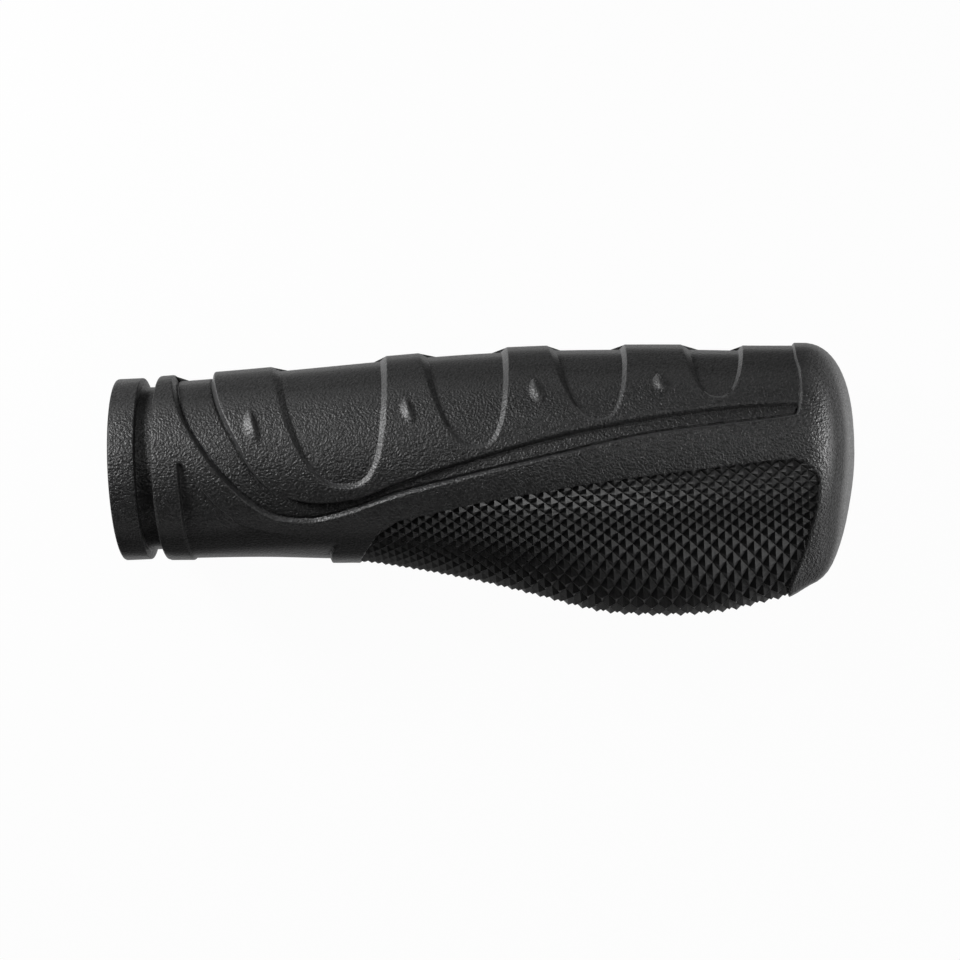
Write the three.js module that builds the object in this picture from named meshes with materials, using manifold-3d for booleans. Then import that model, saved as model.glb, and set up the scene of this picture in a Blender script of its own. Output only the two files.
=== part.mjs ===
// A moulded rubber handlebar grip: ringed collar, strap, finger ridges with valleys between them, a
// diamond-cut palm wing and a closed domed end, round a blind bore for the bar.
//
// Millimetres. +X runs along the bar from the open inner face to the closed outer end, the wing reaches
// to -Y, the finger side is +Y, and the grip is the same above and below the plane z = 0. Angles are in
// degrees round the bar, 0 at the finger side and 180 at the wing.
import * as THREE from 'three';
import { mergeVertices } from 'three/addons/utils/BufferGeometryUtils.js';
import Module from 'manifold-3d';

// Whole length, and the blind bore in it
const gripLength = 129.6;
const barDiameter = 22.2;
const endWall = 4.5;
const leadIn = 0.6;

// Collar, ring groove and flange at the inner end
const collarRadius = 16.1;
const collarWidth = 4.7;
const collarBevel = 0.6;
const grooveRadius = 14.4;
const grooveWidth = 3;
const grooveEdge = 0.2;
const flangeRadius = 16.3;
const flangeWidth = 4.6;
const flangeBevel = 0.35;

// Finger side, from the flange outwards: the neck, then ridges and valleys by turns, whose widths are scaled
// together to fill the length between the neck and the step
const neckWidth = 5.2;
const ridgeWidths = [10, 5.9, 7.2, 10.1, 9.9];
const valleys = [
  { width: 20.4, reach: 107, drift: 4.1, endDepth: 0.7 },
  { width: 15.5, reach: 87.5, drift: 3.4, endDepth: 0.6 },
  { width: 13.5, reach: 75.5, drift: 2.8, endDepth: 0.4 },
  { width: 10.6, reach: 64, drift: 1.2, endDepth: 0.3 },
];
const valleyDepth = 0.9;
const valleyRoundness = 2.5;
const beads = [
  { angle: 67, shift: 2.9, length: 6.8, width: 2.4, lean: 14 },
  { angle: 64, shift: 1.9, length: 5.8, width: 1.8, lean: 14 },
  { angle: 56, shift: 2.1, length: 5.6, width: 1.8, lean: 14 },
  { angle: 53, shift: 1.2, length: 4.4, width: 1.6, lean: 14 },
];
const beadHeight = 0.55;

// Closed outer end
const domeLength = 9;
const domeRoundness = 2.4;
const fingerStep = 0.5;

// Palm wing and its diamond field
const wingHalfAngle = 30;
const diamondLength = 2.46;
const diamondAngle = 7.02;
const diamondStart = -0.52;
const diamondDepth = 0.62;
const diamondSink = 0.15;

// Slope of each kind of wall: how far it leans out for each millimetre of height
const valleyLean = 1.2;
const channelLean = 0.35;
const recessLean = 0.3;

// Facets: pairs round the whole grip, and steps along it and along each zone
const facetsRound = 44;
const fingerFacets = 10;
const wingBunching = 1.25;
const lipAngle = 1.5;
const boreFacets = 36;
const bodyRings = 14;
const domeRings = 7;
const valleySteps = 12;
const valleyTipTurn = 4;
const channelSteps = 24;
const recessSteps = 11;
const fieldSteps = 13;
const beadFacets = 8;
const beadRings = 4;

// How far a cutter reaches past what it cuts, and how deep the diamond field's cutter and its block of
// pyramids are rooted in the bore
const cutClearance = 1.2;
const blockOverlap = 0.05;
const pocketRoot = barDiameter / 4;
const blockRoot = barDiameter / 3;

// Places along the bar
const flangeStart = collarWidth + grooveWidth;
const flangeEnd = flangeStart + flangeWidth;
const ridgeStart = flangeEnd + neckWidth;
const stepLine = gripLength - domeLength;
const bodyRun = stepLine - flangeStart;
const sum = (values) => values.reduce((total, value) => total + value, 0);
const valleyWidths = valleys.map((valley) => valley.width);
const fingerScale = (stepLine - ridgeStart) / (sum(ridgeWidths) + sum(valleyWidths));
const along = (percent) => flangeStart + (percent / 100) * bodyRun;
const percentAt = (x) => ((x - flangeStart) / bodyRun) * 100;

// Smooth curve through [place, value] points, level before the first and after the last.
function smoothCurve(points) {
  const slope = (i) => {
    const before = points[Math.max(i - 1, 0)];
    const after = points[Math.min(i + 1, points.length - 1)];
    return (after[1] - before[1]) / (after[0] - before[0]);
  };
  return (place) => {
    if (place <= points[0][0]) return points[0][1];
    const i = points.findIndex((point) => point[0] >= place);
    if (i < 0) return points.at(-1)[1];
    const [from, to] = [points[i - 1], points[i]];
    const gap = to[0] - from[0];
    const t = (place - from[0]) / gap;
    const rise = t * t * (3 - 2 * t);
    const bend = t * (1 - t) * gap * (slope(i - 1) * (1 - t) - slope(i) * t);
    return from[1] + (to[1] - from[1]) * rise + bend;
  };
}

// How far the barrel swells beyond the flange, and how far the wing stands beyond the barrel, by percent of
// the body run; then the share of the wing that is left along the domed end.
const barrelSwell = smoothCurve([
  [0, 0], [9, 0.3], [18, 0.7], [36, 1.65], [48, 2.1], [60, 2.2], [73, 1.8], [82, 1.4], [92, 0.8], [100, 0.5],
]);
const wingHeight = smoothCurve([
  [0, 0.1], [15, 0.3], [26, 0.75], [30.5, 0.75], [34.5, 1.3], [42.5, 2.9], [50, 4.8], [58, 7.4],
  [67.5, 10.8], [76, 12.2], [82, 12.6], [87.5, 12.5], [93, 11.6], [97, 10.7], [100, 9],
]);
const wingFade = smoothCurve([[0, 1], [0.4, 0.84], [0.58, 0.68], [0.75, 0.46], [0.88, 0.2], [1, 0]]);

// Share of the radius that is left along the domed end.
const domeShare = (x) => {
  const u = THREE.MathUtils.clamp((x - stepLine) / domeLength, 0, 1);
  return (1 - u ** domeRoundness) ** (1 / domeRoundness);
};

// Radius of the skin before any relief is cut into it.
function skinRadius(x, angle) {
  const percent = percentAt(x);
  const fromWing = 180 - Math.abs(((angle + 180) % 360) - 180);
  const lobe = (1 + (fromWing / wingHalfAngle) ** 2) ** -2;
  const past = THREE.MathUtils.clamp((x - stepLine) / domeLength, 0, 1);
  const wing = wingHeight(percent) * wingFade(past) * lobe;
  return (flangeRadius + barrelSwell(percent) + wing) * domeShare(x);
}

const place = (x, angle, radius) => {
  const turn = THREE.MathUtils.degToRad(angle);
  return new THREE.Vector3(x, radius * Math.cos(turn), radius * Math.sin(turn));
};

// The channel between the strap and the finger side, from the outer end to the neck: the lower edge and the
// upper edge as [percent of the body run, angle], then the depth below the skin along each edge.
const channelRows = [
  [99.6, 77, 99.8, 67.5, 0.4, 1],
  [94.3, 79, 94.3, 68, 0.35, 1],
  [88, 81, 88, 69.3, 0.35, 1],
  [75.7, 85.5, 75.7, 74.6, 0.35, 1],
  [62.3, 94.3, 62.4, 82.5, 0.35, 1],
  [48.5, 103.8, 48.6, 94, 0.4, 1],
  [37.5, 113.3, 38, 105, 0.5, 1.1],
  [28.8, 124.5, 32, 113, 0.6, 1.2],
  [23.3, 128.8, 25, 115.5, 0.7, 1.3],
  [18, 124.8, 19.3, 109, 0.7, 1.3],
  [13.2, 109, 16, 96, 0.7, 1.3],
  [9.3, 90, 13.5, 77, 0.8, 1.2],
  [5.7, 67, 10.9, 54, 1, 1.2],
  [3.5, 44.5, 9.5, 32, 1.1, 1.2],
  [2.4, 18, 8.8, 12, 1.2, 1.2],
];

// The channel runs along the bar beyond this percent of the body run, and turns towards the neck before it.
const channelTurn = 37;

// The recess under the strap, from its point round the wing side to the middle of the wing: angle, outer edge
// in percent of the body run, and the depth along the flange and along that edge.
const recessRows = [
  [88, 4.8, 0.8, 0.8],
  [97, 6.5, 0.8, 0.8],
  [106, 8, 0.75, 0.8],
  [114, 9.5, 0.7, 0.75],
  [122, 11.4, 0.65, 0.5],
  [130, 13.6, 0.6, 0.12],
  [137, 19, 0.55, -0.1],
  [144, 27.4, 0.5, -0.1],
  [152, 27.1, 0.45, 0.4],
  [162, 26.3, 0.4, 0.75],
  [171, 26, 0.35, 0.8],
];

// The diamond field, from its upper edge to the middle of the wing: angle, inner edge and outer edge in
// percent of the body run.
const fieldRows = [
  [102, 95, 98.5],
  [104, 87.5, 100],
  [108, 72, 101.3],
  [111.2, 63.5, 102],
  [117.4, 51, 102.4],
  [123.6, 43, 102.2],
  [130, 36.2, 102],
  [138, 34.2, 101.6],
  [150, 32.4, 100.6],
  [159, 31.4, 99.7],
  [168, 30.6, 98],
  [174, 30.2, 97],
];

const wasm = await Module();
wasm.setup();

function solidOf(geometry) {
  const bare = geometry.clone();
  bare.deleteAttribute('normal');
  bare.deleteAttribute('uv');
  const merged = mergeVertices(bare, 1e-5);
  return new wasm.Manifold(new wasm.Mesh({
    numProp: 3,
    vertProperties: new Float32Array(merged.attributes.position.array),
    triVerts: new Uint32Array(merged.index.array),
  }));
}

function geometryOf(positions, triangles) {
  const geometry = new THREE.BufferGeometry();
  geometry.setAttribute('position', new THREE.Float32BufferAttribute(positions, 3));
  geometry.setIndex(triangles);
  return geometry;
}

// Closed body between two grids of points, each a list of rows. The squares are split by turns one way and
// the other, so that a grid of alternating heights comes out as pyramids.
function slab(floor, lid) {
  const rows = floor.length;
  const columns = floor[0].length;
  const low = (row, column) => row * columns + column;
  const high = (row, column) => rows * columns + low(row, column);
  const triangles = [];
  const quad = (a, b, c, d, turned) => {
    if (turned) triangles.push(a, b, d, b, c, d);
    else triangles.push(a, b, c, a, c, d);
  };
  for (let r = 0; r + 1 < rows; r += 1) {
    for (let c = 0; c + 1 < columns; c += 1) {
      const turned = (r + c) % 2 === 0;
      quad(low(r, c), low(r, c + 1), low(r + 1, c + 1), low(r + 1, c), turned);
      quad(high(r, c), high(r + 1, c), high(r + 1, c + 1), high(r, c + 1), turned);
    }
    quad(low(r, 0), low(r + 1, 0), high(r + 1, 0), high(r, 0));
    quad(low(r + 1, columns - 1), low(r, columns - 1), high(r, columns - 1), high(r + 1, columns - 1));
  }
  for (let c = 0; c + 1 < columns; c += 1) {
    quad(low(0, c + 1), low(0, c), high(0, c), high(0, c + 1));
    quad(low(rows - 1, c), low(rows - 1, c + 1), high(rows - 1, c + 1), high(rows - 1, c));
  }
  const points = [...floor.flat(), ...lid.flat()];
  const solid = solidOf(geometryOf(points.flatMap((point) => point.toArray()), triangles));
  if (solid.volume() > 0) return solid;
  return solidOf(geometryOf(points.flatMap((point) => point.toArray()), triangles.reverse()));
}

// Cutter for a sunk zone. Each row has a left and a right point [x, angle, depth] on the skin; the walls
// lean outwards by `lean` millimetres for each millimetre of height.
function zoneCutter(rows, lean, skin) {
  const outline = [...rows.map((row) => row[0]), ...rows.map((row) => row[1]).reverse()];
  const flat = outline.map(([x, angle]) => new THREE.Vector2(
    x,
    THREE.MathUtils.degToRad(angle) * skin(x, angle),
  ));
  const turning = Math.sign(THREE.ShapeUtils.area(flat));
  const raised = (height) => outline.map(([x, angle, depth], i) => {
    const before = flat[(i + flat.length - 1) % flat.length];
    const after = flat[(i + 1) % flat.length];
    const run = after.clone().sub(before).normalize();
    const level = height ?? -depth;
    const out = lean * level * turning;
    const arc = THREE.MathUtils.degToRad(1) * skin(x, angle);
    return place(x + out * run.y, angle - (out * run.x) / arc, skin(x, angle) + level);
  });
  const paired = (points) => rows.map((_, i) => [points[i], points[points.length - 1 - i]]);
  return slab(paired(raised()), paired(raised(cutClearance)));
}

const mirrored = (rows) => rows.map((row) => row.map(([x, angle, depth]) => [x, -angle, depth])).reverse();

// Rows between the given ones, each number following a smooth curve.
function refine(rows, count) {
  const curves = rows[0].map((_, k) => smoothCurve(rows.map((row, i) => [i, row[k]])));
  const last = rows.length - 1;
  return Array.from({ length: count + 1 }, (_, i) => curves.map((curve) => curve((i / count) * last)));
}

// Angle of the middle of the channel at a place along the bar, where the finger side meets the lower body.
const channelMiddle = smoothCurve(channelRows
  .filter((row) => row[0] > channelTurn)
  .map((row) => [along(row[0]), (row[1] + row[3]) / 2])
  .reverse());

// How far the finger side lies below the skin, growing towards the step at the domed end.
const fingerDrop = smoothCurve([
  [along(48), 0], [along(73), 0.3 * fingerStep], [along(92), 0.7 * fingerStep], [along(100), fingerStep],
]);

// Body of revolution with the wing on it. The facets round it meet the channel's middle line on both sides,
// and are bunched towards the middle of the wing.
function bodySolid() {
  const halfFacets = facetsRound / 2;
  const angles = (x) => {
    const middle = channelMiddle(x);
    return Array.from({ length: halfFacets + 1 }, (_, i) => {
      if (i <= fingerFacets) return ((middle - lipAngle) * i) / fingerFacets;
      const left = (halfFacets - i) / (halfFacets - fingerFacets - 1);
      return THREE.MathUtils.lerp(180, middle + lipAngle, left ** wingBunching);
    });
  };
  const ring = (x, radiusAt) => {
    const half = angles(x).map((angle, i) => [angle, radiusAt(angle, i <= fingerFacets)]);
    const back = half.slice(1, -1).map(([angle, radius]) => [-angle, radius]).reverse();
    return [...half, ...back].map(([angle, radius]) => place(x, angle, radius));
  };
  const turned = (x, radius) => ring(x, () => radius);
  const rings = [
    turned(0, collarRadius - collarBevel),
    turned(collarBevel, collarRadius),
    turned(collarWidth - grooveEdge, collarRadius),
    turned(collarWidth, collarRadius - grooveEdge),
    turned(collarWidth, grooveRadius),
    turned(flangeStart, grooveRadius),
    turned(flangeStart, flangeRadius - flangeBevel),
  ];
  const skirt = (x) => ring(x, (angle, finger) => skinRadius(x, angle) - (finger ? fingerDrop(x) : 0));
  for (let i = 0; i <= bodyRings; i += 1) {
    const x = THREE.MathUtils.lerp(flangeStart + flangeBevel, stepLine - fingerStep / 2, i / bodyRings);
    rings.push(skirt(x));
  }
  for (let i = 0; i < domeRings; i += 1) {
    const turn = THREE.MathUtils.degToRad((90 * i) / domeRings);
    const domePlace = stepLine + domeLength * Math.sin(turn) ** (2 / domeRoundness);
    const x = Math.max(domePlace, stepLine + fingerStep / 2);
    rings.push(ring(x, (angle) => skinRadius(x, angle)));
  }
  const count = rings[0].length;
  const points = [...rings.flat(), place(0, 0, 0), place(gripLength, 0, 0)];
  const [innerPole, outerPole] = [points.length - 2, points.length - 1];
  const triangles = [];
  for (let k = 0; k < count; k += 1) {
    const next = (k + 1) % count;
    triangles.push(innerPole, next, k);
    for (let r = 0; r + 1 < rings.length; r += 1) {
      const [a, b] = [r * count + k, r * count + next];
      triangles.push(a, b, b + count, a, b + count, a + count);
    }
    const last = (rings.length - 1) * count;
    triangles.push(outerPole, last + k, last + next);
  }
  const positions = points.flatMap((point) => point.toArray());
  const solid = solidOf(geometryOf(positions, triangles));
  return solid.volume() > 0 ? solid : solidOf(geometryOf(positions, triangles.reverse()));
}

// Where ridge number `index` begins at the finger side.
const ridgePlace = (index) => ridgeStart
  + fingerScale * (sum(ridgeWidths.slice(0, index)) + sum(valleyWidths.slice(0, index)));

function valleyCutter(index) {
  const { reach, drift, endDepth } = valleys[index];
  const width = fingerScale * valleyWidths[index];
  const start = ridgePlace(index) + fingerScale * ridgeWidths[index];
  const lastTurn = 90 - valleyTipTurn;
  const round = 2 / valleyRoundness;
  const rows = Array.from({ length: valleySteps + 1 }, (_, i) => {
    const turn = THREE.MathUtils.degToRad(lastTurn * ((2 * i) / valleySteps - 1));
    const share = Math.abs(Math.sin(turn)) ** round;
    const angle = Math.sign(turn) * reach * share;
    const half = (width / 2) * Math.cos(turn) ** round;
    const middle = start + width / 2 + drift * share;
    const depth = THREE.MathUtils.lerp(valleyDepth, endDepth, share ** 2);
    return [-half, half].map((side) => [middle + side, angle, depth]);
  });
  const skin = (x, angle) => skinRadius(x, angle) - fingerDrop(x);
  return zoneCutter(rows, valleyLean, skin);
}

function channelCutter() {
  const half = refine(channelRows, channelSteps).map((row) => {
    const [lower, lowerAngle, upper, upperAngle, lowerDepth, upperDepth] = row;
    return [[along(lower), lowerAngle, lowerDepth], [along(upper), upperAngle, upperDepth]];
  });
  return zoneCutter([...half, ...mirrored(half)], channelLean, skinRadius);
}

function recessCutter() {
  const half = refine(recessRows, recessSteps).map(([angle, outer, flangeDepth, outerDepth]) => [
    [flangeEnd, angle, flangeDepth],
    [along(outer), angle, outerDepth],
  ]);
  const round = mirrored(half).map((row) => row.map(([x, angle, depth]) => [x, angle + 360, depth]));
  return zoneCutter([...half, ...round], recessLean, skinRadius);
}

// The diamond field as two solids: the pocket that is cleared in the body, and the block of pyramids that
// fills it. Both reach in past the bore, which is cut through them last.
function diamondField() {
  const endTurn = 4;
  const wellOutside = 3 * flangeRadius;
  const half = refine(fieldRows, fieldSteps);
  const rows = [...half, ...half.map(([angle, from, to]) => [360 - angle, from, to]).reverse()];
  const prism = (grow) => {
    const edge = (radius) => rows.map(([angle, from, to], i) => {
      const end = angle + (i === 0 ? -endTurn : (i === rows.length - 1) * endTurn) * grow;
      return [place(along(from) - grow, end, radius), place(along(to) + grow, end, radius)];
    });
    return slab(edge(pocketRoot), edge(wellOutside));
  };

  const [pitch, turn] = [diamondLength / 2, diamondAngle / 2];
  const diamondsTo = (percent) => (along(percent) - diamondStart) / diamondLength;
  const firstColumn = 2 * (Math.floor(diamondsTo(Math.min(...fieldRows.map((row) => row[1])))) - 1);
  const lastColumn = 2 * (Math.ceil(diamondsTo(Math.max(...fieldRows.map((row) => row[2])))) + 1);
  const rowsEachWay = 2 * (Math.ceil((180 - fieldRows[0][0]) / diamondAngle) + 1);
  const grid = (radiusAt) => {
    const lines = [];
    for (let r = -rowsEachWay; r <= rowsEachWay; r += 1) {
      const line = [];
      for (let c = firstColumn; c <= lastColumn; c += 1) {
        const [x, angle] = [diamondStart + c * pitch, 180 + r * turn];
        line.push(place(x, angle, radiusAt(x, angle, (r + c) % 2 === 0)));
      }
      lines.push(line);
    }
    return lines;
  };
  const pyramids = grid((x, angle, peak) => {
    const peakRadius = skinRadius(x, angle) - diamondSink;
    return peak ? peakRadius : peakRadius - diamondDepth * Math.sqrt(peakRadius / flangeRadius);
  });
  const root = grid(() => blockRoot);
  return { pocket: prism(0), block: slab(root, pyramids).intersect(prism(blockOverlap)) };
}

function beadSolid(index, side) {
  const { angle, shift, length, width, lean } = beads[index];
  const x = ridgePlace(index) + (fingerScale * ridgeWidths[index]) / 2 + shift;
  const radius = skinRadius(x, angle) - fingerDrop(x);
  const geometry = new THREE.SphereGeometry(1, beadFacets, beadRings);
  geometry.rotateX(Math.PI / 2);
  geometry.scale(width / 2, length / 2, beadHeight);
  geometry.rotateZ(THREE.MathUtils.degToRad(-lean * side));
  geometry.rotateX(THREE.MathUtils.degToRad(-90 * side + 90 + (angle - 90) * side));
  geometry.translate(...place(x, angle * side, radius).toArray());
  return solidOf(geometry);
}

function boreSolid() {
  const radius = barDiameter / 2;
  const depth = gripLength - endWall;
  const mouth = -cutClearance;
  const profile = [
    new THREE.Vector2(0, mouth),
    new THREE.Vector2(radius + leadIn + cutClearance, mouth),
    new THREE.Vector2(radius, leadIn),
    new THREE.Vector2(radius, depth),
    new THREE.Vector2(0, depth),
  ];
  const geometry = new THREE.LatheGeometry(profile, boreFacets);
  geometry.rotateZ(-Math.PI / 2);
  return solidOf(geometry);
}

let grip = bodySolid().subtract(channelCutter()).subtract(recessCutter());
valleys.forEach((_, index) => {
  grip = grip.subtract(valleyCutter(index));
});
const { pocket, block } = diamondField();
grip = grip.subtract(pocket).add(block);
beads.forEach((_, index) => {
  grip = grip.add(beadSolid(index, 1)).add(beadSolid(index, -1));
});
grip = grip.subtract(boreSolid());

const cut = grip.getMesh();
const rubber = new THREE.MeshStandardMaterial({
  name: 'rubber',
  color: 0x1c1c1d,
  roughness: 0.6,
  metalness: 0,
});
const mesh = new THREE.Mesh(geometryOf([...cut.vertProperties], [...cut.triVerts]), rubber);
mesh.name = 'grip';

const group = new THREE.Group();
group.add(mesh);

export default group;
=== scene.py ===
"""Studio view of a moulded rubber handlebar grip, modelled as one fine mesh: ringed collar, strap, finger
ridges with valleys between them, a diamond-cut palm wing and a closed domed end.

Sizes are in millimetres and angles in degrees, as in the part's source; the mesh, camera and lights are in
metres. A place on the skin is (x along the bar, angle round it), with 0 at the finger side and 180 at the
middle of the wing.
"""

import math

import bmesh
import bpy
import numpy as np
from mathutils import Matrix, Vector
from mathutils.geometry import delaunay_2d_cdt


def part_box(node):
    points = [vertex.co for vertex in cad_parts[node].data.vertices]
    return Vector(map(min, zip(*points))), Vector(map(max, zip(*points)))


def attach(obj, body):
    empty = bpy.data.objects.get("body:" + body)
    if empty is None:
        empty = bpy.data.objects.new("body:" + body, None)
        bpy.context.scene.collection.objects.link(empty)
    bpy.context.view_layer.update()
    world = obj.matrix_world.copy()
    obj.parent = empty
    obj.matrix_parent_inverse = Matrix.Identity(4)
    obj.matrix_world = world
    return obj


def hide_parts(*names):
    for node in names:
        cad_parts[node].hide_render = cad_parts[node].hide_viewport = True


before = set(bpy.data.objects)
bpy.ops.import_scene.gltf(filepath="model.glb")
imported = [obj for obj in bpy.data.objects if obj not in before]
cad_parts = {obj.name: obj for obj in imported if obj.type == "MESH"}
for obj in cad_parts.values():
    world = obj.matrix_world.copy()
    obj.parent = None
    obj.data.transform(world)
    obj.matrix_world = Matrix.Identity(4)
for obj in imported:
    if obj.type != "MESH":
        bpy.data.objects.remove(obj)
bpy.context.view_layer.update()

MM = 0.001
grip_low, grip_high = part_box("grip")

# Main sizes
grip_length = (grip_high.x - grip_low.x) / MM
bar_diameter = 22.2
end_wall = 4.5
lead_in = 0.6

# Collar, ring groove and flange at the inner end
collar_radius = 16.1
collar_width = 4.7
groove_radius = 14.4
groove_width = 3.0
groove_rounding = 0.25
flange_radius = 16.3
flange_width = 4.6
flange_rounding = 0.4
ring_rounding = 0.45
flange_edge = 0.6

# Roundings in the bore, from its end to its mouth
bore_end_rounding = 0.3
lead_in_rounding = 0.1
mouth_rounding = 0.2

# Finger side: the neck, then ridges and valleys by turns
neck_width = 5.2
ridge_widths = [10, 5.9, 7.2, 10.1, 9.9]
valleys = [
    {"width": 20.4, "reach": 107, "drift": 4.1, "end_depth": 0.7, "left_wall": 1.5, "right_wall": 1.1},
    {"width": 15.5, "reach": 87.5, "drift": 3.4, "end_depth": 0.6, "left_wall": 1.4, "right_wall": 1.1},
    {"width": 13.5, "reach": 75.5, "drift": 2.8, "end_depth": 0.4, "left_wall": 1.3, "right_wall": 0.9},
    {"width": 10.6, "reach": 64, "drift": 1.2, "end_depth": 0.3, "left_wall": 1.3, "right_wall": 0.8},
]
valley_depth = 0.9
valley_roundness = 2.5
left_tip_wall = 0.35
right_tip_wall = 0.8
beads = [
    {"angle": 67, "shift": 3.35, "length": 6.8, "width": 2.6, "lean": 14},
    {"angle": 64, "shift": 2.3, "length": 5.8, "width": 2.1, "lean": 14},
    {"angle": 56, "shift": 2.5, "length": 5.6, "width": 2.1, "lean": 14},
    {"angle": 53, "shift": 1.6, "length": 4.4, "width": 1.9, "lean": 14},
]
bead_height = 0.8
bead_crest = 0.3
bead_roundness = 0.75

# Walls of the channel, which are wider near the flange on the finger side: how much wider, where along the bar
# that ends and how far it fades, and the same round the bar in degrees
channel_wall_width = 0.3
near_flange_extra = 0.35
near_flange_end = 14
near_flange_fade = 2.5
near_flange_angle = 80
near_flange_turn = 30

# Crevices in the channel, along the foot of its walls
crevice_gap = 0.03
crevice_half_width = 0.22
lower_crevice_depth = 0.8
upper_crevice_depth = 0.6

# Closed outer end
dome_length = 9
dome_roundness = 2.4
dome_span = 17
finger_step = 0.5
step_wall = 0.25
step_edge = [[119.7, 0], [119.8, 12], [120.1, 32], [120.6, 43], [120.8, 52], [120.8, 61], [120.6, 69]]

# Palm wing and its diamond field
wing_half_angle = 30
diamond_length = 2.46
diamond_angle = 7.02
diamond_start = -0.52
diamond_depth = 0.62
diamond_sink = 0.15
field_wall = 0.24
field_rounding = 0.06
field_foot = field_wall + field_rounding

# The wall round the recess under the strap
recess_wall = 0.34

# Places along the bar
flange_start = collar_width + groove_width
flange_end = flange_start + flange_width
skin_start = flange_start + flange_edge
ridge_start = flange_end + neck_width
step_line = grip_length - dome_length
body_run = step_line - flange_start

# Numbers of the three kinds of surface: grained rubber, the diamond pad, and the walls that face the key
# light, whose lighter shade is a painted highlight
GRAINED, PAD, LIT_WALL = range(3)

# Walls that face the inner end or the finger side, towards the key light, get a smoother gloss and a lighter
# shade that is a painted highlight: the least part of the normal towards the inner end or the finger side, and
# the last angle
lit_wall_slope = 0.36
lit_wall_reach = 128

# Fineness of the mesh
ring_columns = 90
pole_columns = 30
pole_turn = 88
row_spacing = 0.45
background_spacing = 1.1
bead_spacing = 0.28
guard = 0.4
snap = 0.02
flat_degree = 0.3


def along(percent):
    return flange_start + percent / 100 * body_run


def percent_at(x):
    return (x - flange_start) / body_run * 100


def smooth_curve(points):
    """Smooth curve through (place, value) points, level before the first and after the last."""
    places, values = np.array(points, float).T
    order = np.arange(len(places))
    before = np.maximum(order - 1, 0)
    after = np.minimum(order + 1, len(places) - 1)
    slopes = (values[after] - values[before]) / (places[after] - places[before])

    def curve(place):
        place = np.clip(place, places[0], places[-1])
        i = np.clip(np.searchsorted(places, place), 1, len(places) - 1)
        gap = places[i] - places[i - 1]
        t = (place - places[i - 1]) / gap
        rise = t * t * (3 - 2 * t)
        bend = t * (1 - t) * gap * (slopes[i - 1] * (1 - t) - slopes[i] * t)
        return values[i - 1] + (values[i] - values[i - 1]) * rise + bend

    return curve


barrel_swell = smooth_curve(
    [[0, 0], [9, 0.3], [18, 0.7], [36, 1.65], [48, 2.1]]
    + [[60, 2.2], [73, 1.8], [82, 1.4], [92, 0.8], [100, 0.5]]
)
wing_height = smooth_curve(
    [[0, 0.1], [15, 0.3], [26, 0.75], [30.5, 0.75], [34.5, 1.3], [42.5, 2.9], [50, 4.8], [58, 7.4]]
    + [[67.5, 10.8], [76, 12.2], [82, 12.6], [87.5, 12.5], [93, 11.6], [97, 10.7], [100, 9]]
)
wing_fade = smooth_curve([[0, 1], [0.4, 0.84], [0.58, 0.68], [0.75, 0.46], [0.88, 0.2], [1, 0]])
finger_drop = smooth_curve([[along(48), 0], [along(73), 0.15], [along(92), 0.35], [along(100), finger_step]])

# The channel between the strap and the finger side, from the outer end to the neck: the lower edge and the
# upper edge as (percent of the body run, angle), then the depth below the skin along each edge.
channel_rows = [
    [98.4, 77.3, 99.8, 67.5, 0.25, 1],
    [94.3, 79, 94.3, 68, 0.25, 1],
    [88, 81, 88, 69.3, 0.25, 1],
    [75.7, 85.5, 75.7, 74.6, 0.25, 1],
    [62.3, 94.3, 62.4, 82.5, 0.3, 1],
    [48.5, 103.8, 48.6, 94, 0.4, 1],
    [37.5, 113.3, 38, 105, 0.5, 1.1],
    [28.8, 124.5, 32, 113, 0.6, 1.2],
    [23.3, 128.8, 25, 115.5, 0.7, 1.3],
    [18, 124.8, 19.3, 109, 0.7, 1.3],
    [13.2, 109, 16, 96, 0.7, 1.3],
    [9.3, 90, 13.5, 77, 0.8, 1.2],
    [5.7, 67, 10.9, 54, 1, 1.2],
    [3.5, 44.5, 9.5, 32, 1.1, 1.2],
    [2.4, 18, 8.8, 12, 1.2, 1.2],
    [2.2, 0, 8.7, 0, 1.2, 1.2],
]

# The channel's rounded corner at its outer end: percent of the body run and angle.
corner_rows = [[99.7, 73], [99.6, 75], [99.15, 76.6]]

# The recess under the strap, from its point round the wing side to the middle of the wing: angle, outer edge
# in percent of the body run, and the depth along the flange and along that edge.
recess_rows = [
    [88, 4.8, 0.8, 0.8],
    [97, 6.5, 0.8, 0.8],
    [106, 8, 0.75, 0.8],
    [114, 9.5, 0.7, 0.75],
    [122, 11.4, 0.65, 0.5],
    [130, 13.6, 0.6, 0.12],
    [137, 19, 0.55, 0],
    [144, 27.4, 0.5, 0],
    [152, 27.1, 0.45, 0.4],
    [162, 26.3, 0.4, 0.75],
    [171, 26, 0.35, 0.8],
    [180, 25.8, 0.35, 0.8],
]

# The diamond field, from its upper edge to the middle of the wing: angle, inner edge and outer edge in
# percent of the body run.
field_rows = [
    [102, 95, 98.5],
    [104, 87.5, 100],
    [108, 72, 101.3],
    [111.2, 63.5, 102],
    [117.4, 51, 102.4],
    [123.6, 43, 102.2],
    [130, 36.2, 102],
    [138, 34.2, 101.6],
    [150, 32.4, 100.6],
    [159, 31.4, 99.7],
    [168, 30.6, 98],
    [174, 30.2, 97],
    [180, 30.1, 96.8],
]


def past_step(x):
    return np.clip((x - step_line) / dome_length, 0, 1)


def skin_radius(x, angle):
    """Radius of the skin before any relief is cut into it."""
    percent = percent_at(x)
    from_wing = 180 - np.abs((angle + 180) % 360 - 180)
    lobe = (1 + (from_wing / wing_half_angle) ** 2) ** -2
    wing = wing_height(percent) * wing_fade(past_step(x)) * lobe
    dome_share = (1 - past_step(x) ** dome_roundness) ** (1 / dome_roundness)
    return (flange_radius + barrel_swell(percent) + wing) * dome_share


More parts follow.
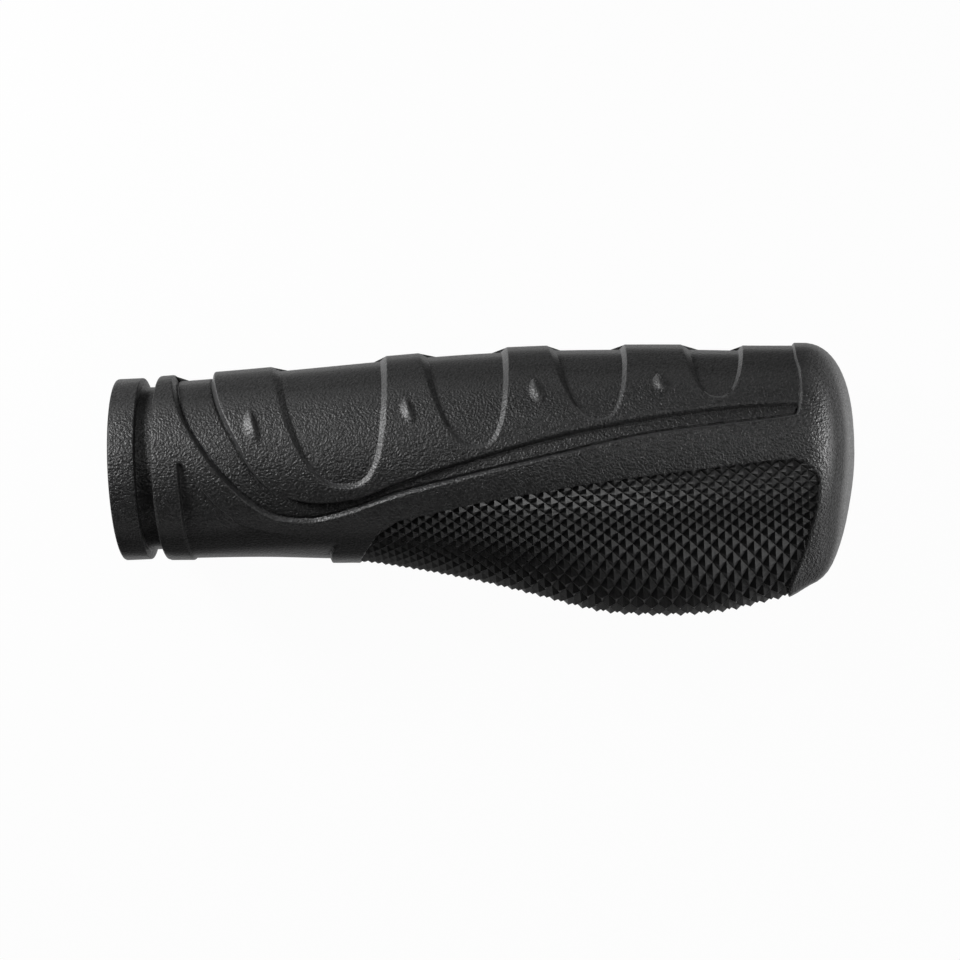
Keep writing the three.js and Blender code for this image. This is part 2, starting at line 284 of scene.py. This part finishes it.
def nearest(x, angle, line):
    """Distance in millimetres from places on the skin to a line of (x, angle, ...) points, and the line's
    other numbers at the nearest place."""
    arc = np.radians(1) * skin_radius(x, angle)
    best = np.full(x.shape, np.inf)
    extra = np.zeros((line.shape[1] - 2,) + x.shape)
    for start, end in zip(line[:-1], line[1:]):
        run_x = end[0] - start[0]
        run_a = (end[1] - start[1]) * arc
        to_x = x - start[0]
        to_a = (angle - start[1]) * arc
        t = np.clip((to_x * run_x + to_a * run_a) / (run_x**2 + run_a**2 + 1e-12), 0, 1)
        gap = (to_x - t * run_x) ** 2 + (to_a - t * run_a) ** 2
        closer = gap < best
        best[closer] = gap[closer]
        for k in range(len(extra)):
            extra[k][closer] = (start[k + 2] + t * (end[k + 2] - start[k + 2]))[closer]
    return np.sqrt(best), extra


def inside_of(x, angle, outline):
    inside = np.zeros(x.shape, bool)
    for start, end in zip(outline[:-1], outline[1:]):
        if start[1] == end[1]:
            continue
        crosses = (start[1] > angle) != (end[1] > angle)
        inside ^= crosses & (x < start[0] + (angle - start[1]) / (end[1] - start[1]) * (end[0] - start[0]))
    return inside


def even_line(points, spacing):
    """The same line with its points about `spacing` millimetres apart."""
    points = np.array(points, float)
    arc = np.radians(1) * skin_radius(points[:, 0], points[:, 1])
    middle_arc = (arc[1:] + arc[:-1]) / 2
    steps = np.hypot(np.diff(points[:, 0]), np.diff(points[:, 1]) * middle_arc)
    run = np.concatenate([[0], np.cumsum(steps)])
    places = np.linspace(0, run[-1], max(2, round(run[-1] / spacing) + 1))
    return np.stack([np.interp(places, run, column) for column in points.T], axis=1)


def refined(rows, count):
    """Rows between the given ones, each number following a smooth curve."""
    rows = np.array(rows, float)
    places = np.linspace(0, len(rows) - 1, count)
    return np.stack([smooth_curve(list(enumerate(column)))(places) for column in rows.T], axis=1)


class Zone:
    """Area of the skin with a wall round it. `half` is the part of its outline between the finger side and
    the wing, `seam` is the angle that it is mirrored at, and `wall` gives the width of the wall at places on
    the skin."""

    def __init__(self, half, seam, wall, top_rounding, foot_rounding):
        self.half = even_line(half, row_spacing)
        other = self.half[::-1].copy()
        other[:, 1] = 2 * seam - other[:, 1]
        self.outline = np.concatenate([self.half, other, self.half[:1]])
        self.wall = wall
        self.top_rounding = top_rounding
        self.foot_rounding = foot_rounding

    def distance(self, x, angle):
        """Millimetres from the outline, below zero inside it."""
        gap = nearest(x, angle, self.outline)[0]
        return np.where(inside_of(x, angle, self.outline), -gap, gap)

    def share(self, x, angle):
        """1 on the floor of the zone and 0 outside it, with a rounded wall between."""
        distance = self.distance(x, angle)
        wall = self.wall(x, angle)

        def soft(t, e):
            return np.where(t < -e, 0, np.where(t > e, t, (t + e) ** 2 / (4 * e)))

        return 1 - (soft(distance + wall, self.foot_rounding) - soft(distance, self.top_rounding)) / wall

    def beside_wall(self, x, angle):
        """Whether places are clear of the wall and of the rows of points along it."""
        gap = self.distance(x, angle)
        inner = self.wall(x, angle) + self.foot_rounding + 2 * guard
        return (gap < -inner) | (gap > self.top_rounding + 2 * guard)

    def rows(self):
        """Points along the half outline and beside it, close together where the wall bends."""
        wall = self.wall(*self.half.T)
        bends = np.array([-1, -0.45, 0.1, 0.6])
        foot = [wall - bend * self.foot_rounding for bend in bends]
        top = [*bends * self.top_rounding, -self.top_rounding - guard]
        insets = [wall + self.foot_rounding + guard, *foot, *top]
        return np.concatenate([beside(self.half, inset, self) for inset in insets])


def beside(line, inset, zone):
    """Points of a line on the skin, moved into a zone by a distance in millimetres."""
    arc = np.radians(1) * skin_radius(*line.T)
    run = np.gradient(line, axis=0)
    run[:, 1] *= arc
    run /= np.linalg.norm(run, axis=1)[:, None] + 1e-12
    aside = np.stack([run[:, 1], -run[:, 0] / arc], axis=1)
    middle = len(line) // 2
    small = 0.01
    if not inside_of(*(line[middle] + aside[middle] * small)[:, None], zone.outline)[0]:
        aside = -aside
    return line + aside * np.reshape(inset, (-1, 1))


def ridge_place(index):
    """Where ridge number `index` begins at the finger side."""
    return ridge_start + sum(ridge_widths[:index]) + sum(valley["width"] for valley in valleys[:index])


def valley_half(index):
    valley = valleys[index]
    middle = ridge_place(index) + ridge_widths[index] + valley["width"] / 2
    turn = np.radians(np.linspace(0, 180, 181))
    share = np.abs(np.sin(turn)) ** (2 / valley_roundness)
    side = np.sign(np.cos(turn)) * np.abs(np.cos(turn)) ** (2 / valley_roundness)
    x = middle + valley["drift"] * share - side * valley["width"] / 2
    return np.stack([x, valley["reach"] * share], axis=1)


fine_channel = refined(channel_rows, 400)
channel_lower = np.stack([along(fine_channel[:, 0]), fine_channel[:, 1], fine_channel[:, 4]], axis=1)
channel_upper = np.stack([along(fine_channel[:, 2]), fine_channel[:, 3], fine_channel[:, 5]], axis=1)
channel_middle = (channel_lower + channel_upper)[:, :2] / 2
outer_corner = np.array([[along(percent), angle] for percent, angle in corner_rows])
lower_crevice = even_line(np.concatenate([outer_corner, channel_lower[:, :2]]), row_spacing)
upper_crevice = even_line(channel_upper[:, :2], row_spacing)
fine_recess = refined(recess_rows, 200)
recess_edge = np.stack([along(fine_recess[:, 1]), fine_recess[:, 0]], axis=1)
fine_field = refined(field_rows, 260)
field_inner = np.stack([along(fine_field[:, 1]), fine_field[:, 0]], axis=1)
field_outer = np.stack([along(fine_field[:, 2]), fine_field[:, 0]], axis=1)


def valley_wall(index):
    """Width of a valley's wall: wide at the finger side, narrower towards the tip."""
    valley = valleys[index]
    middle = ridge_place(index) + ridge_widths[index] + valley["width"] / 2

    def wall(x, angle):
        share = np.clip(np.abs(angle) / valley["reach"], 0, 1)
        right = np.clip(0.5 + 2 * (x - middle - valley["drift"] * share) / valley["width"], 0, 1)
        left_wall = valley["left_wall"] + (left_tip_wall - valley["left_wall"]) * share**2
        right_wall = valley["right_wall"] + (right_tip_wall - valley["right_wall"]) * share**2
        return left_wall + (right_wall - left_wall) * right

    return wall


def even_wall(width):
    return lambda x, angle: np.full(np.shape(x), width)


def channel_wall(x, angle):
    near_flange = np.clip((near_flange_end - x) / near_flange_fade, 0, 1)
    near_fingers = np.clip((near_flange_angle - np.abs(angle)) / near_flange_turn, 0, 1)
    return channel_wall_width + near_flange_extra * near_flange * near_fingers


def crevice_inset(x, angle):
    """Distance from the channel's outline to the bottom of the crevice beside it."""
    return channel_wall(x, angle) + crevice_half_width + crevice_gap


channel_half = np.concatenate([channel_upper[::-1, :2], outer_corner, channel_lower[:, :2]])
finger_half = np.concatenate([channel_middle[::-1], step_edge[::-1]])
recess_half = np.concatenate([[[flange_end, 180], [flange_end, recess_rows[0][0]]], recess_edge])
field_half = np.concatenate([field_outer[::-1], field_inner])
valley_zones = [
    Zone(valley_half(i), seam=0, wall=valley_wall(i), top_rounding=0.22, foot_rounding=0.12)
    for i in range(len(valleys))
]
channel_zone = Zone(channel_half, seam=0, wall=channel_wall, top_rounding=0.2, foot_rounding=0.06)
finger_zone = Zone(finger_half, seam=0, wall=even_wall(step_wall), top_rounding=0.2, foot_rounding=0.06)
recess_zone = Zone(recess_half, seam=180, wall=even_wall(recess_wall), top_rounding=0.14, foot_rounding=0.06)
field_zone = Zone(
    field_half,
    seam=180,
    wall=even_wall(field_wall),
    top_rounding=field_rounding,
    foot_rounding=field_rounding,
)


def bead_middle(index):
    """Where the middle of bead number `index` lies along the bar."""
    return ridge_place(index) + ridge_widths[index] / 2 + beads[index]["shift"]


def bead_rise(index, x, angle):
    """How far a bead stands out: it is narrow at both ends, and its crest lies to one side."""
    bead = beads[index]
    middle = bead_middle(index)
    arc = np.radians(1) * skin_radius(x, angle)
    to_x = x - middle
    to_a = (angle - bead["angle"]) * arc
    lean = math.radians(bead["lean"])
    across = (to_x * math.cos(lean) - to_a * math.sin(lean)) / bead["width"]
    across = np.where(across < 0, across / (1 - bead_crest), across / bead_crest)
    length = np.clip((to_a * math.cos(lean) + to_x * math.sin(lean)) / (bead["length"] / 2), -1, 1)
    half_width = (1 - length**2) ** bead_roundness
    return bead_height * np.clip(half_width - np.abs(across), 0, 1)


def peak_share(x, angle):
    """1 on the peak of a diamond and 0 in the grooves round it."""
    column = (x - diamond_start) / (diamond_length / 2)
    row = (angle - 180) / (diamond_angle / 2)
    one = column + row
    other = column - row
    return 1 - np.maximum(np.abs(one - 2 * np.round(one / 2)), np.abs(other - 2 * np.round(other / 2)))


def relief(x, angle):
    """How far the surface lies below the skin."""
    skin = skin_radius(x, angle)
    finger = finger_drop(x)
    for zone, valley in zip(valley_zones, valleys):
        share = np.clip(angle / valley["reach"], 0, 1) ** 2
        depth = valley_depth + (valley["end_depth"] - valley_depth) * share
        finger = finger + zone.share(x, angle) * depth
    for index in range(len(beads)):
        finger = finger - bead_rise(index, x, angle)

    flange_depth, edge_depth, edge = (smooth_curve(fine_recess[:, [0, k]])(angle) for k in (2, 3, 1))
    across = np.clip((x - flange_end) / (along(edge) - flange_end), 0, 1)
    palm = recess_zone.share(x, angle) * (flange_depth + (edge_depth - flange_depth) * across)
    peak_radius = skin - diamond_sink
    groove = (1 - peak_share(x, angle)) * diamond_depth * np.sqrt(np.maximum(peak_radius, 0) / flange_radius)
    palm = palm + field_zone.share(x, angle) * (diamond_sink + groove)

    lower_gap, lower_depth = nearest(x, angle, channel_lower)
    upper_gap, upper_depth = nearest(x, angle, channel_upper)
    across = lower_gap / (lower_gap + upper_gap + 1e-9)
    channel = lower_depth[0] + (upper_depth[0] - lower_depth[0]) * across
    inset = crevice_inset(x, angle)
    for line, depth in ((lower_crevice, lower_crevice_depth), (upper_crevice, upper_crevice_depth)):
        gap = nearest(x, angle, line)[0]
        channel = channel + depth * np.clip(1 - np.abs(gap - inset) / crevice_half_width, 0, 1)

    on_fingers = finger_zone.share(x, angle)
    in_channel = channel_zone.share(x, angle)
    beside = palm * (1 - on_fingers) + finger * on_fingers
    return beside * (1 - in_channel) + channel * in_channel


def flat_of(x, angle):
    """Place on the flat sheet that is triangulated: the dome is stretched, so that its profile has even
    steps."""
    turn = np.degrees(np.arcsin(np.clip(past_step(x) ** (dome_roundness / 2), 0, 1)))
    flat_x = np.where(x > step_line, step_line + dome_span * turn / 90, x)
    return np.stack([flat_x, angle * flat_degree], axis=1)


def skin_of(flat):
    """Place on the skin of a point on the flat sheet."""
    turn = np.radians(np.clip((flat[:, 0] - step_line) / dome_span, 0, 1) * 90)
    dome_x = step_line + dome_length * np.sin(turn) ** (2 / dome_roundness)
    return np.where(flat[:, 0] > step_line, dome_x, flat[:, 0]), flat[:, 1] / flat_degree


def background_points(zones):
    """Even points over the sheet, apart from where a wall's own rows are and from the diamond field."""
    flat_end = step_line + dome_span * pole_turn / 90
    columns = np.linspace(skin_start, flat_end, round((flat_end - skin_start) / background_spacing) + 1)
    angles = np.linspace(0, 180, round(180 * flat_degree / background_spacing) + 1)
    half_step = (angles[1] - angles[0]) / 2
    points = []
    for i, column in enumerate(columns[1:-1]):
        shifted = angles if i % 2 else np.concatenate([[0], angles[:-1] + half_step, [180]])
        points.extend([column, angle * flat_degree] for angle in shifted)
    points = np.array(points)
    x, angle = skin_of(points)
    keep = np.ones(len(points), bool)
    for zone in zones:
        keep &= zone.beside_wall(x, angle)
    keep &= field_zone.distance(x, angle) > 0
    for line in (lower_crevice, upper_crevice):
        keep &= nearest(x, angle, line)[0] > crevice_inset(x, angle) + 3 * crevice_half_width
    return points[keep]


def bead_points():
    """Close points over each bead, in an oval that is longer round the grip than along it."""
    points = []
    oval = 1.5
    for index, bead in enumerate(beads):
        reach = bead["length"] / 2 + bead_spacing
        middle = bead_middle(index)
        steps = np.arange(-reach, reach, bead_spacing)
        arc = np.radians(1) * skin_radius(np.array([middle]), np.array([bead["angle"]]))[0]
        x, angle = np.meshgrid(middle + steps, bead["angle"] + steps / arc)
        near = np.hypot((x - middle) * oval, (angle - bead["angle"]) * arc) < reach
        points.append(flat_of(x[near], angle[near]))
    return np.concatenate(points)


def lattice():
    """Corners of the diamonds inside the field and the edges between them, cut short at the foot of its
    wall: the place where each edge starts and where it ends."""
    pitch, turn = diamond_length / 2, diamond_angle / 2
    first = math.floor((along(field_rows[-1][1]) - diamond_start) / pitch) - 1
    last = math.ceil((along(max(row[2] for row in field_rows)) - diamond_start) / pitch) + 1
    columns = np.arange(first, last + 1)
    rows = np.arange(-math.ceil((180 - field_rows[0][0]) / turn) - 1, 1)
    column, row = np.meshgrid(columns, rows)
    column, row = column.ravel(), row.ravel()
    peak = (column + row) % 2 == 0
    starts, ends = [], []
    steps = [(1, 0, True), (-1, 0, True), (0, 1, True), (0, -1, True), (1, 1, False), (1, -1, False)]
    for step_c, step_r, from_peak in steps:
        chosen = peak == from_peak
        start = np.stack([column[chosen], row[chosen]], axis=1)
        end = start + [step_c, step_r]
        both = end[:, 1] <= 0
        starts.append(start[both])
        ends.append(end[both])
    scale = np.array([pitch, turn])
    starts = np.concatenate(starts) * scale + [diamond_start, 180]
    ends = np.concatenate(ends) * scale + [diamond_start, 180]

    def deep(points):
        return field_zone.distance(points[:, 0], points[:, 1]) < -field_foot

    start_in, end_in = deep(starts), deep(ends)
    swap = end_in & ~start_in
    starts[swap], ends[swap] = ends[swap], starts[swap].copy()
    keep = start_in | end_in
    starts, ends = starts[keep], ends[keep]
    crossing = ~deep(ends)
    low, high = np.zeros(crossing.sum()), np.ones(crossing.sum())
    run = ends[crossing] - starts[crossing]
    halvings = 14
    for _ in range(halvings):
        middle = (low + high) / 2
        within = deep(starts[crossing] + run * middle[:, None])
        low, high = np.where(within, middle, low), np.where(within, high, middle)
    ends[crossing] = starts[crossing] + run * low[:, None]
    return starts, ends


def half_skin():
    """Half of the outer surface, from the flange to the pole of the dome: (x, angle) corners, triangles, and
    which triangles are facets of the diamonds."""
    zones = [*valley_zones, channel_zone, recess_zone, field_zone, finger_zone]
    crevice_rows = [
        beside(line, crevice_inset(*line.T) + crevice_half_width * share, channel_zone)
        for line in (lower_crevice, upper_crevice)
        for share in (-1, 0, 1, 2)
    ]
    rows = np.concatenate([*(zone.rows() for zone in zones), *crevice_rows])
    rows = flat_of(rows[:, 0], rows[:, 1])
    starts, ends = lattice()
    edge_points = flat_of(*np.concatenate([starts, ends]).T)
    flat_end = step_line + dome_span * pole_turn / 90
    first = np.stack([np.full(ring_columns + 1, skin_start), np.linspace(0, 180, ring_columns + 1)], axis=1)
    last = np.stack([np.full(pole_columns + 1, flat_end), np.linspace(0, 180, pole_columns + 1)], axis=1)
    sides = np.concatenate([first, last]) * [1, flat_degree]
    loose = np.concatenate([rows, bead_points(), background_points(zones)])
    loose[:, 1] = np.where(np.abs(loose[:, 1]) < snap, 0, loose[:, 1])
    top = 180 * flat_degree
    loose[:, 1] = np.where(np.abs(loose[:, 1] - top) < snap, top, loose[:, 1])
    fits = (loose[:, 0] > skin_start + guard) & (loose[:, 0] < flat_end - guard)
    fits &= (loose[:, 1] >= 0) & (loose[:, 1] <= top)
    x, angle = skin_of(loose)
    gap = field_zone.distance(x, angle)
    fits &= gap > -field_foot - snap
    loose = np.unique(np.round(loose[fits] / snap).astype(int), axis=0) * snap
    loose[:, 1] = np.where(loose[:, 1] > top - snap, top, loose[:, 1])

    corners = np.concatenate([sides, edge_points, loose])
    count = len(starts)
    edges = [(len(sides) + k, len(sides) + count + k) for k in range(count)]
    merge_within = 1e-4
    points, _, faces, *_ = delaunay_2d_cdt([Vector(p) for p in corners], edges, [], 0, merge_within, False)
    points = np.array([tuple(p) for p in points])
    faces = np.array(faces)
    x, angle = skin_of(points)
    inner = field_zone.distance(x, angle) < -field_foot + snap
    return x, angle, faces, inner[faces].all(axis=1)


def filleted(points, steps=5):
    """A profile of (x, radius, rounding) points with each corner between the first and the last rounded."""
    places = [np.array(point[:2], float) for point in points]
    rounded = [places[0]]
    for before, corner, after, point in zip(places[:-2], places[1:-1], places[2:], points[1:-1]):
        back = (before - corner) / np.linalg.norm(before - corner)
        on = (after - corner) / np.linalg.norm(after - corner)
        for t in np.linspace(0, 1, steps):
            rounded.append(corner + point[2] * (back * (1 - t) ** 2 + on * t**2))
    return [*rounded, places[-1]]


def ring_profile():
    """Profile from the middle of the bore's end out of the bore, over the collar and the groove, to the
    flange."""
    bore = bar_diameter / 2
    return np.array(filleted([
        [grip_length - end_wall, 0, 0],
        [grip_length - end_wall, bore, bore_end_rounding],
        [lead_in, bore, lead_in_rounding],
        [0, bore + lead_in, mouth_rounding],
        [0, collar_radius, ring_rounding],
        [collar_width, collar_radius, groove_rounding],
        [collar_width, groove_radius, groove_rounding],
        [flange_start, groove_radius, groove_rounding],
        [flange_start, flange_radius, flange_rounding],
        [skin_start, flange_radius, 0],
    ]))


def mesh_of(name, corners, faces):
    mesh = bpy.data.meshes.new(name)
    mesh.from_pydata((corners * MM).tolist(), [], faces)
    mesh.validate()
    return mesh


def painted_lit_walls(skin, x, angle, triangles):
    """Which triangles are on the walls that face the inner end or the finger side, towards the key light,
    where the rubber is smoother and its lighter shade is a painted highlight."""
    a, b, c = (skin[triangles[:, k]] for k in range(3))
    normal = np.cross(b - a, c - a)
    normal /= np.linalg.norm(normal, axis=1)[:, None] + 1e-12
    middle_angle = angle[triangles].mean(axis=1)
    turn = np.radians(middle_angle)
    outward = np.sign(normal[:, 1] * np.cos(turn) + normal[:, 2] * np.sin(turn))
    inner_end = -normal[:, 0] * outward
    finger_side = (normal[:, 1] * np.sin(turn) - normal[:, 2] * np.cos(turn)) * outward
    steep = (inner_end > lit_wall_slope) | (finger_side > lit_wall_slope)
    outside_recess = recess_zone.distance(x[triangles].mean(axis=1), middle_angle) > 2 * guard
    return steep & outside_recess & (middle_angle < lit_wall_reach)


def build_grip(rubber, pad_rubber, lit_wall_rubber):
    """The whole grip: half of its skin and of its rings, and the same again on the other side."""
    x, angle, triangles, facets = half_skin()
    radius = skin_radius(x, angle) - relief(x, angle)
    turn = np.radians(angle)
    skin = np.stack([x, radius * np.cos(turn), radius * np.sin(turn)], axis=1)
    faces = [tuple(face) for face in triangles.tolist()]
    # The walls that face the key light get the lighter rubber, a painted highlight.
    lit_walls = painted_lit_walls(skin, x, angle, triangles) & ~facets
    coat = np.where(facets, PAD, np.where(lit_walls, LIT_WALL, GRAINED)).tolist()

    pole = len(skin)
    same_place = 1e-6
    last = np.flatnonzero(x > x.max() - same_place)
    last = last[np.argsort(angle[last])]
    corners = [*skin.tolist(), [grip_length, 0, 0]]
    for a, b in zip(last[:-1].tolist(), last[1:].tolist()):
        faces.append((a, pole, b))
        coat.append(GRAINED)

    profile = ring_profile()
    angles = np.linspace(0, 180, ring_columns + 1)
    turns = np.radians(angles)
    first_ring = len(corners)
    for place, radius in profile[:-1]:
        corners.extend(zip(np.full(len(turns), place), radius * np.cos(turns), radius * np.sin(turns)))
    edge = skin_radius(np.full(len(turns), skin_start), angles)
    corners.extend(zip(np.full(len(turns), skin_start), edge * np.cos(turns), edge * np.sin(turns)))
    for i in range(len(profile) - 1):
        for k in range(ring_columns):
            a = first_ring + i * (ring_columns + 1) + k
            b = a + ring_columns + 1
            faces.append((a, b, b + 1, a + 1))
            coat.append(GRAINED)

    corners = np.array(corners, float)
    other = corners * [1, 1, -1]
    count = len(corners)
    faces += [tuple(index + count for index in reversed(face)) for face in faces]
    coat = np.array(coat + coat)
    mesh = mesh_of("grip_rubber", np.concatenate([corners, other]), faces)
    for material in (rubber, pad_rubber, lit_wall_rubber):
        mesh.materials.append(material)
    mesh.polygons.foreach_set("material_index", coat)
    mesh.polygons.foreach_set("use_smooth", coat != PAD)
    return mesh


def weld(mesh):
    """Joins corners that lie closer than a distance in metres, and turns all faces outwards."""
    weld_distance = 2e-6
    work = bmesh.new()
    work.from_mesh(mesh)
    bmesh.ops.remove_doubles(work, verts=work.verts, dist=weld_distance)
    bmesh.ops.recalc_face_normals(work, faces=work.faces)
    work.to_mesh(mesh)
    work.free()


def rubber_material(name, shade, specular, roughness, dull, grain, speckle):
    """Moulded rubber: fine grain in the bump and as speckle in the shade, which also changes slightly over
    the surface, and a gloss that goes from `roughness` to `dull` where the surface turns away, but is back on
    steep edges. `grain` is in millimetres and `speckle` is the share by which the shade goes up and down."""
    broad_waves, speckle_waves, grain_waves = 90, 2200, 2500
    broad_change = 0.15
    blueness = 1.02
    dulling_places = (0.17, 0.4, 0.57, 0.75)
    material = bpy.data.materials.new(name)
    material.use_nodes = True
    nodes, links = material.node_tree.nodes, material.node_tree.links
    shader = nodes["Principled BSDF"]
    shader.inputs["Specular IOR Level"].default_value = specular
    place = nodes.new("ShaderNodeTexCoord")

    def noise(scale, detail, low, high):
        """Noise from `low` to `high` with `scale` waves to the metre, for which the middle of the texture's
        own range is stretched."""
        stretched_from, stretched_to = 0.3, 0.7
        wave = nodes.new("ShaderNodeTexNoise")
        wave.inputs["Scale"].default_value = scale
        wave.inputs["Detail"].default_value = detail
        links.new(place.outputs["Object"], wave.inputs["Vector"])
        spread = nodes.new("ShaderNodeMapRange")
        spread.inputs["From Min"].default_value = stretched_from
        spread.inputs["From Max"].default_value = stretched_to
        spread.inputs["To Min"].default_value = low
        spread.inputs["To Max"].default_value = high
        links.new(wave.outputs["Fac"], spread.inputs["Value"])
        return spread.outputs["Result"]

    def times(a, b):
        node = nodes.new("ShaderNodeMath")
        node.operation = "MULTIPLY"
        links.new(a, node.inputs[0])
        links.new(b, node.inputs[1])
        return node.outputs["Value"]

    broad = noise(broad_waves, 4, 1 - broad_change, 1 + broad_change)
    fine = noise(speckle_waves, 1, 1 - speckle, 1 + speckle)
    tone = nodes.new("ShaderNodeVectorMath")
    tone.operation = "SCALE"
    tone.inputs[0].default_value = (shade, shade, shade * blueness)
    links.new(times(broad, fine), tone.inputs["Scale"])
    links.new(tone.outputs["Vector"], shader.inputs["Base Color"])
    facing = nodes.new("ShaderNodeLayerWeight")
    facing.inputs["Blend"].default_value = 0.5
    dulling = nodes.new("ShaderNodeValToRGB")
    ramp = dulling.color_ramp.elements
    ramp[0].position, *between, ramp[1].position = dulling_places
    for position in between:
        ramp.new(position)
    for element, level in zip(ramp, (roughness, dull, dull, roughness)):
        element.color = (level, level, level, 1)
    links.new(facing.outputs["Facing"], dulling.inputs["Fac"])
    links.new(dulling.outputs["Color"], shader.inputs["Roughness"])
    bump = nodes.new("ShaderNodeBump")
    bump.inputs["Strength"].default_value = 1
    bump.inputs["Distance"].default_value = grain * MM
    links.new(noise(grain_waves, 1, 0, 1), bump.inputs["Height"])
    links.new(bump.outputs["Normal"], shader.inputs["Normal"])
    return material


def floor_material():
    """Pale floor that the camera and the gloss see as plain white, with the object's shadow still on it."""
    shade = 0.4
    white_share = 0.97
    material = bpy.data.materials.new("studio_floor")
    material.use_nodes = True
    nodes, links = material.node_tree.nodes, material.node_tree.links
    shader = nodes["Principled BSDF"]
    shader.inputs["Base Color"].default_value = (shade, shade, shade, 1)
    shader.inputs["Roughness"].default_value = 0.9
    white = nodes.new("ShaderNodeEmission")
    rays = nodes.new("ShaderNodeLightPath")
    seen = rays.outputs["Is Camera Ray"]
    for ray in ("Is Glossy Ray", "Is Transmission Ray"):
        either = nodes.new("ShaderNodeMath")
        either.operation = "MAXIMUM"
        links.new(seen, either.inputs[0])
        links.new(rays.outputs[ray], either.inputs[1])
        seen = either.outputs["Value"]
    share = nodes.new("ShaderNodeMath")
    share.operation = "MULTIPLY"
    share.inputs[1].default_value = white_share
    links.new(seen, share.inputs[0])
    mix = nodes.new("ShaderNodeMixShader")
    links.new(share.outputs["Value"], mix.inputs["Fac"])
    links.new(shader.outputs["BSDF"], mix.inputs[1])
    links.new(white.outputs["Emission"], mix.inputs[2])
    links.new(mix.outputs["Shader"], nodes["Material Output"].inputs["Surface"])
    return material


def add_object(name, data):
    obj = bpy.data.objects.new(name, data)
    bpy.context.scene.collection.objects.link(obj)
    return obj


def soft_light(name, target, direction, distance, power, size):
    """Square soft light, seen from its target in the given direction, at a distance in metres."""
    lamp = bpy.data.lights.new(name, "AREA")
    lamp.shape = "SQUARE"
    lamp.size = size
    lamp.energy = power
    obj = add_object(name, lamp)
    towards = Vector(direction).normalized()
    turned = towards.to_track_quat("Z", "Y").to_matrix().to_4x4()
    obj.matrix_world = Matrix.Translation(target + towards * distance) @ turned
    obj.visible_camera = False


def add_camera():
    """Camera nearly straight above the grip, turned so that the bar's axis climbs a little to the right."""
    place = Vector((119.6, -4.7, 713)) * MM
    target = Vector((63.6, -4.7, 0)) * MM
    roll = math.radians(2.6)
    lens = bpy.data.cameras.new("camera")
    lens.lens = 152
    lens.sensor_width = 36
    lens.clip_start = 0.01
    camera = add_object("camera", lens)
    forward = (target - place).normalized()
    right = forward.cross(Vector((0, 1, 0))).normalized()
    up = right.cross(forward)
    across = right * math.cos(roll) - up * math.sin(roll)
    upward = right * math.sin(roll) + up * math.cos(roll)
    turned = Matrix((across, upward, -forward)).transposed()
    camera.matrix_world = Matrix.Translation(place) @ turned.to_4x4()
    bpy.context.scene.camera = camera


add_camera()
rubber = rubber_material(
    "grained_rubber", shade=0.009, specular=0.5, roughness=0.5, dull=1, grain=0.12, speckle=0.9
)
pad_rubber = rubber_material(
    "smooth_rubber", shade=0.006, specular=0.4, roughness=0.34, dull=0.6, grain=0.01, speckle=0.1
)
# Lighter shade for the walls that face the key light: a painted highlight, with a gloss that is not dulled.
lit_wall_rubber = rubber_material(
    "lit_wall_rubber", shade=0.03, specular=0.5, roughness=0.42, dull=0.42, grain=0.08, speckle=0.4
)
grip_mesh = build_grip(rubber, pad_rubber, lit_wall_rubber)
weld(grip_mesh)
grip = add_object("grip_rubber", grip_mesh)
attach(grip, "root")
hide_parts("grip")

floor_reach = 3
floor_gap = 0.0002
floor_corners = [(x * floor_reach, y * floor_reach, 0) for x, y in ((-1, -1), (1, -1), (1, 1), (-1, 1))]
floor_mesh = bpy.data.meshes.new("studio_floor")
floor_mesh.from_pydata(floor_corners, [], [(0, 1, 2, 3)])
floor_mesh.materials.append(floor_material())
floor = add_object("studio_floor", floor_mesh)
floor.location.z = grip_low.z - floor_gap

middle = (grip_low + grip_high) / 2
near_ridges = Vector((45, 0, 0)) * MM
near_dome = Vector((110, -5, 0)) * MM
soft_light("key_light", near_ridges, (-0.78, 0.4, 0.42), distance=0.22, power=0.62, size=0.05)
soft_light("top_light", near_ridges, (-0.15, 0.45, 0.85), distance=0.2, power=0.08, size=0.05)
soft_light("side_light", near_dome, (0.5, 0.1, 0.85), distance=0.16, power=0.08, size=0.05)
soft_light("low_light", middle, (0.69, -0.39, 0.58), distance=0.34, power=0.1, size=0.08)
soft_light("rim_light", middle, (1, -0.05, 0.02), distance=0.4, power=2.8, size=0.06)
world = bpy.data.worlds.new("studio_world")
world.use_nodes = True
world.node_tree.nodes["Background"].inputs["Color"].default_value = (1, 1, 1, 1)
world.node_tree.nodes["Background"].inputs["Strength"].default_value = 0.01
bpy.context.scene.world = world
bpy.context.scene.view_settings.view_transform = "Standard"
